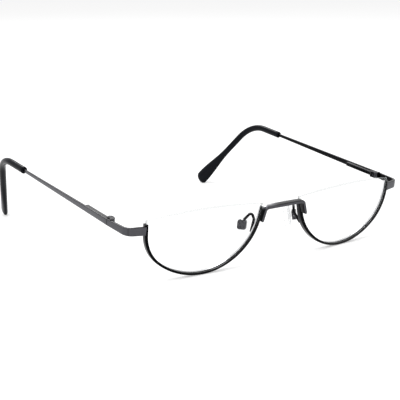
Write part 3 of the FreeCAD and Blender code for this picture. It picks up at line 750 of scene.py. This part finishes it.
def tipRings():
    # an ellipse carried along the bend: round in the sleeve, flared smoothly to the paddle, and
    # drawn in by a quarter circle at the end; its wide way is turned by the twist
    stations, tangents = bentPath([templeStart, templeCorner, tipEnd], templeShape["bend"], 6, 28)
    left = np.linalg.norm(tipEnd - stations, axis=1)
    straight = np.dot(stations - templeCorner, hook) > 0
    body = ~straight | (left > tipShape["length"])
    flare = np.linspace(tipShape["length"], tipShape["round"], 26)
    cap = tipShape["round"] * (1 - np.sin(np.radians([12, 25, 38, 50, 61, 71, 79, 85])))
    paddle = np.concatenate([flare, cap])
    mouth = tipShape["mouthRound"]
    lips = np.array([0, 0.25, 0.6, 1.0]) * mouth
    mouthStations = templeStart + lips[:, None] * (0, 1, 0)
    stations = np.vstack([mouthStations, stations[body][1:], tipEnd - paddle[:, None] * hook])
    tangents = np.vstack([np.tile((0, 1, 0), (4, 1)), tangents[body][1:], np.tile(hook, (len(paddle), 1))])
    swell = np.clip((tipShape["length"] - paddle) / (tipShape["length"] - tipShape["fullLength"]), 0, 1)
    ease = swell ** 2 * (3 - 2 * swell)
    shrink = np.where(paddle < tipShape["round"], np.sqrt(1 - (1 - paddle / tipShape["round"]) ** 2), 1)
    sleeve = tipShape["sleeve"]
    lipRadius = sleeve - mouth + np.sqrt(mouth ** 2 - (mouth - lips) ** 2)
    plain = np.full(body.sum() - 1, sleeve)
    thinEnd = (sleeve + (tipShape["halfThickness"] - sleeve) * ease) * shrink
    wideEnd = (sleeve + (tipShape["halfWidth"] - sleeve) * ease) * shrink
    thin = np.concatenate([lipRadius, plain, thinEnd])
    wide = np.concatenate([lipRadius, plain, wideEnd])
    turn = np.linspace(0, 2 * math.pi, tipShape["around"], endpoint=False)
    twist = math.radians(tipShape["twist"])
    a, b = thin[:, None] * np.cos(turn), wide[:, None] * np.sin(turn)
    return carry(stations, tangents, bendNormal, a * math.cos(twist) - b * math.sin(twist),
                 a * math.sin(twist) + b * math.cos(twist))


for title, side, mirror in sides:
    # painted light: the outward face is painted grey, the top and the edges painted dark
    bar = ringMesh("templeBar" + title, templeRings(), mirror, sharp=50, paintedLight=templeShape["paintedLight"])
    bevelEdges(bar, templeShape["endRound"], 60)
    place(bar, templeMetal, "temple_metal", "temple_bar_" + side)
    tip = ringMesh("templeTip" + title, tipRings(), mirror, poles=True, sharp=60)
    place(tip, tipAcetate, "tip_plastic", "temple_tip_" + side)
print("temples made")


# Nose pads: arm, box, screw, insert and the soft pad

padShape = {"rootU": -24.72, "rootV": -12.4, "rootSetback": 1.35, "boxStep": (0.8, 4.8, 1.6),
            "armSteps": ((-2.4, 1.6, 4.4), (-1.9, 2.7, 7.1), (0.2, 4.6, 3.5)),
            "armRadius": 0.55, "armBend": 0.9, "armPaintedLight": {"front": 0.1, "top": 0.2},
            "splay": 42.0, "cant": 12.0, "face": 1.35, "height": 13.0, "width": 7.4, "thickness": 2.9,
            "tear": 0.12, "around": 56, "layers": 25, "edge": 0.55, "crown": 0.85}

rootFlat = np.array([padShape["rootU"], padShape["rootV"]])
armRoot = toWearing(rootFlat, onBall(rootFlat, 0) + padShape["rootSetback"])


def padArmRings():
    # a round wire along the arm's bent line
    corners = np.vstack([armRoot, armRoot + np.array(padShape["armSteps"])])
    stations, tangents = bentPath(corners, padShape["armBend"], 4, 12)
    plane = unit(np.cross(corners[1] - corners[0], corners[3] - corners[2]))
    turn = np.linspace(0, 2 * math.pi, 20, endpoint=False)
    radius = np.full(len(stations), padShape["armRadius"])[:, None]
    return carry(stations, tangents, plane, radius * np.cos(turn), radius * np.sin(turn))


def toPad(points):
    # pad frame (x away from the nose, y along the screw, z up the pad) to the wearing frame: a
    # turn about y by the cant, one about z by the splay, then a shift to the pad box
    splay, cant = -math.radians(padShape["splay"]), -math.radians(padShape["cant"])
    x, y, z = np.moveaxis(np.asarray(points, float), -1, 0)
    tippedX = x * math.cos(cant) + z * math.sin(cant)
    tippedZ = z * math.cos(cant) - x * math.sin(cant)
    turnedX = tippedX * math.cos(splay) - y * math.sin(splay)
    turnedY = tippedX * math.sin(splay) + y * math.cos(splay)
    return np.stack([turnedX, turnedY, tippedZ], -1) + armRoot + np.array(padShape["boxStep"])


def nosePadRings():
    # layers from the face at the box to the face at the nose: for p from -90 to 90 degrees the
    # outline is scaled by cos(p)^edge and set at depth middle + half |sin(p)|^crown; the outline is
    # an ellipse that widens towards its lower end
    p = np.radians(np.linspace(-87, 87, padShape["layers"]))
    scale = np.cos(p) ** padShape["edge"]
    crowned = np.sign(np.sin(p)) * np.abs(np.sin(p)) ** padShape["crown"]
    depth = padShape["face"] + padShape["thickness"] / 2 * (1 + crowned)
    turn = np.linspace(0, 2 * math.pi, padShape["around"], endpoint=False)
    up = padShape["height"] / 2 * np.sin(turn)
    across = padShape["width"] / 2 * np.cos(turn) * (1 - padShape["tear"] * np.sin(turn))
    layers = [np.stack([np.full(len(turn), -n), across * s, up * s], -1) for n, s in zip(depth, scale)]
    return toPad(np.stack(layers))


for title, side, mirror in sides:
    # painted light: the arm is painted near black, a little lighter on top and at the front
    arm = ringMesh("padArm" + title, padArmRings(), mirror, sharp=60, paintedLight=padShape["armPaintedLight"])
    place(arm, frameMetal, "frame_metal", "pad_arm_" + side)
    pad = ringMesh("nosePad" + title, nosePadRings(), mirror, poles=True, sharp=70)
    place(pad, padSilicone, "pad_silicone", "nose_pad_" + side)
print("nose pads made")


# Small parts: the solids themselves with broken edges

smallParts = {"front_hinge": ("frontHinge", hingeMetal, "hinge_metal", 0.08),
              "hinge_slider": ("hingeSlider", hingeMetal, "hinge_metal", 0.06),
              "hinge_screw": ("hingeScrew", screwMetal, "screw_steel", 0.05),
              "spring_box": ("springBox", templeMetal, "temple_metal", 0.08),
              "spring_stop": ("springStop", hingeMetal, "hinge_metal", 0.03),
              "shank_nut": ("shankNut", screwMetal, "screw_steel", 0.03),
              "pad_box": ("padBox", hingeMetal, "hinge_metal", 0.08),
              "pad_screw": ("padScrew", screwMetal, "screw_steel", 0.04),
              "pad_insert": ("padInsert", insertResin, "insert_plastic", 0.06),
              "hinge_spring": ("hingeSpring", springMetal, "spring_steel", 0)}

for title, side, mirror in sides:
    for node, (name, finish, slot, width) in smallParts.items():
        part = mergedCopy(name + title, node + "_" + side, width)
        place(part, finish, slot, node + "_" + side)
        if node == "hinge_spring":
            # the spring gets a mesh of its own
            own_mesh(part)
print("small parts made")


# Floor, light and camera

studio = {"floorSize": 6.0, "floorColour": "#e8e8e8", "floorLift": 0.38, "worldSoft": 0.62,
          "keyPower": 9.0, "keySize": 0.9, "keyPlace": (-0.5, -0.2, 1.3),
          "rearPower": 2.2, "rearSize": 0.35, "rearPlace": (0.25, 0.7, 0.7)}
cameraPlace = {"location": (-263.5, -385.846, 125.696), "target": (-23.056, -44.286, 23.598),
               "roll": -0.352,
               "lens": 98.055, "shiftX": -0.00125, "shiftY": 0.00125}


def seenWhite(tree):
    # 1 for the rays that show the white surroundings: camera, glossy and transmission rays
    path = addNode(tree, "ShaderNodeLightPath")
    shown = addNode(tree, "ShaderNodeMath", {"operation": "MAXIMUM"},
                    {0: path.outputs["Is Camera Ray"], 1: path.outputs["Is Glossy Ray"]})
    return addNode(tree, "ShaderNodeMath", {"operation": "MAXIMUM"},
                   {0: shown.outputs[0], 1: path.outputs["Is Transmission Ray"]}).outputs[0]


def makeFloor():
    # white laminated board: lit as any board, and lifted to white for the eye outside the shadows
    half = studio["floorSize"] / 2
    mesh = bpy.data.meshes.new("floor")
    corners = [(-half, -half, 0), (half, -half, 0), (half, half, 0), (-half, half, 0)]
    mesh.from_pydata(corners, [], [(0, 1, 2, 3)])
    floor = bpy.data.objects.new("floor", mesh)
    scene.collection.objects.link(floor)
    material, tree = startMaterial("whiteBoard")
    board = addNode(tree, "ShaderNodeBsdfDiffuse", {"Color": toLinear(studio["floorColour"])})
    lift = addNode(tree, "ShaderNodeMath", {"operation": "MULTIPLY", 1: studio["floorLift"]},
                   {0: seenWhite(tree)})
    glow = addNode(tree, "ShaderNodeEmission", links={"Strength": lift.outputs[0]})
    both = addNode(tree, "ShaderNodeAddShader", links={0: board.outputs[0], 1: glow.outputs[0]})
    closeMaterial(tree, both.outputs[0])
    mesh.materials.append(material)


def makeWorld():
    world = bpy.data.worlds.new("whiteRoom")
    scene.world = world
    world.use_nodes = True
    tree = world.node_tree
    tree.nodes.clear()
    strength = addNode(tree, "ShaderNodeMapRange", {"To Min": studio["worldSoft"], "To Max": 1.0},
                       {"Value": seenWhite(tree)})
    background = addNode(tree, "ShaderNodeBackground", {"Color": (1, 1, 1, 1)},
                         {"Strength": strength.outputs[0]})
    addNode(tree, "ShaderNodeOutputWorld", links={"Surface": background.outputs[0]})


def addLamp(name, power, size, spot):
    lamp = bpy.data.lights.new(name, "AREA")
    lamp.energy = power
    lamp.size = size
    holder = bpy.data.objects.new(name, lamp)
    holder.location = spot
    holder.rotation_euler = Vector(spot).to_track_quat("Z", "Y").to_euler()
    scene.collection.objects.link(holder)


def addCamera():
    # built from its own axes: back from the target, right level with the floor, then rolled
    data = bpy.data.cameras.new("camera")
    data.lens = cameraPlace["lens"]
    data.sensor_width = 36
    data.clip_start, data.clip_end = 0.01, 20
    data.shift_x, data.shift_y = cameraPlace["shiftX"], cameraPlace["shiftY"]
    place = Vector(cameraPlace["location"]) / 1000
    back = (place - Vector(cameraPlace["target"]) / 1000).normalized()
    level = Vector((0, 0, 1)).cross(back).normalized()
    roll = math.radians(cameraPlace["roll"])
    right = level * math.cos(roll) + back.cross(level) * math.sin(roll)
    axes = Matrix((right, back.cross(right), back)).transposed().to_4x4()
    camera = bpy.data.objects.new("camera", data)
    camera.matrix_world = Matrix.Translation(place) @ axes
    scene.collection.objects.link(camera)
    scene.camera = camera


makeFloor()
makeWorld()
addLamp("softKey", studio["keyPower"], studio["keySize"], studio["keyPlace"])
addLamp("rearLight", studio["rearPower"], studio["rearSize"], studio["rearPlace"])
addCamera()
scene.view_settings.view_transform = "Standard"
print("floor, light and camera placed")
